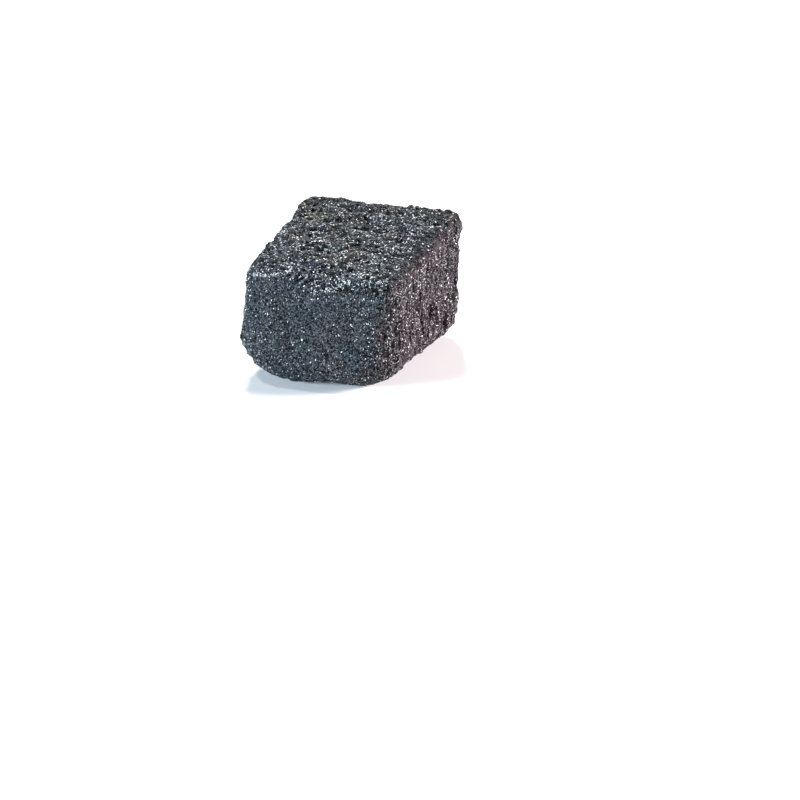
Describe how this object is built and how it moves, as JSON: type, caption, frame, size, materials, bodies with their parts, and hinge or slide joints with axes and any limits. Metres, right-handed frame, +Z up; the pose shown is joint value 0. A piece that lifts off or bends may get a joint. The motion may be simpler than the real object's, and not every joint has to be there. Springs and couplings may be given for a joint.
{
  "type": "black sesame bar",
  "caption": "Small hand-cut block of pressed black sesame, squarish and a little taller at the back, with soft corners and a rough torn top.",
  "frame": {"origin": "centre of the footprint, at the height of the flat base that it rests on", "axes": "+X to the right along the front face, +Y from the front face to the back, +Z up"},
  "size_m": [0.0234, 0.027, 0.0182],
  "materials": {
    "sesame": "blue-black pressed ground sesame, moist and slightly oily, grainy, with fine glints"
  },
  "bodies": {
    "root": {"sesame_bar": "sesame"}
  },
  "joints": []
}
